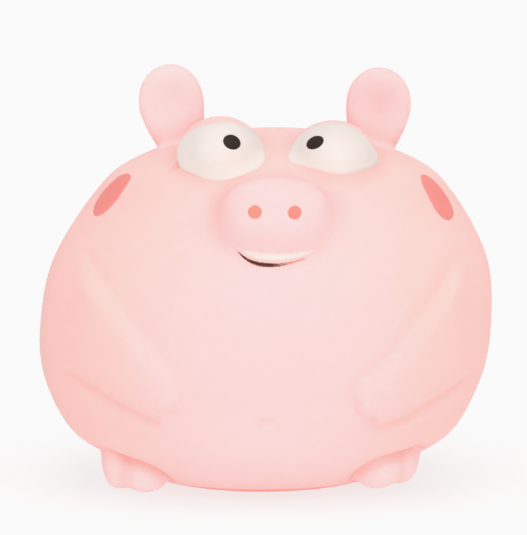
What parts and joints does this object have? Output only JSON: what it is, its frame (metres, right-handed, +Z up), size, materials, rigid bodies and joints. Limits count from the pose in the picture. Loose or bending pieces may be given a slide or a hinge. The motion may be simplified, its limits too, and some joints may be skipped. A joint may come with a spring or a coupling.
{
  "type": "squishy toy pig",
  "caption": "Round soft rubber toy pig that squashes down and springs back, with bending ears, a painted face and a squeaker in its flat base.",
  "frame": {"origin": "on the floor plane under the middle of the bounding box", "axes": "+Z up, -Y the way the nose points, +X to the pig's own left"},
  "size_m": [0.12, 0.1144, 0.111],
  "materials": {
    "skin": "matte, soft to the touch",
    "eye_white": "matte sprayed paint",
    "pupil": "satin brushed paint",
    "cheek": "matte sprayed paint",
    "nostril": "matte sprayed paint",
    "teeth": "satin brushed paint",
    "mouth_line": "matte brushed paint",
    "filling": "loose white fibre",
    "squeaker": "satin moulded plastic",
    "reed": "satin strip"
  },
  "bodies": {
    "base": {"lower_skin": "skin", "filling": "filling", "squeaker_cup": "squeaker", "reed_seat": "squeaker", "reed_clip": "squeaker", "squeaker_cap": "squeaker"},
    "head": {"upper_skin": "skin", "eye_white_left": "eye_white", "eye_white_right": "eye_white", "pupil_left": "pupil", "pupil_right": "pupil", "cheek_left": "cheek", "cheek_right": "cheek", "nostril_left": "nostril", "nostril_right": "nostril", "teeth": "teeth", "mouth_line": "mouth_line"},
    "left_ear": {"ear_left": "skin"},
    "right_ear": {"ear_right": "skin"},
    "reed": {"reed_tongue": "reed"}
  },
  "joints": [
    {"name": "squeeze", "type": "slide", "parent": "base", "child": "head", "axis": [0, 0, -1], "range_m": [0, 0.022], "stiffness_N_per_m": 700, "springref_m": -0.004, "deforming": ["lower_skin", "filling"]},
    {"name": "ear_left_bend", "type": "hinge", "parent": "head", "child": "left_ear", "pos_m": [0.02825, -0.0022, 0.09245], "axis": [0.9529, 0, -0.3034], "range_deg": [-60, 30], "stiffness_Nm_per_rad": 0.02},
    {"name": "ear_right_bend", "type": "hinge", "parent": "head", "child": "right_ear", "pos_m": [-0.02397, -0.0022, 0.09245], "axis": [0.9529, 0, 0.3034], "range_deg": [-60, 30], "stiffness_Nm_per_rad": 0.02},
    {"name": "reed_flutter", "type": "hinge", "parent": "base", "child": "reed", "pos_m": [-0.00496, -0.0022, 0.00465], "axis": [0, -1, 0], "range_deg": [-1, 10], "stiffness_Nm_per_rad": 0.00005}
  ]
}
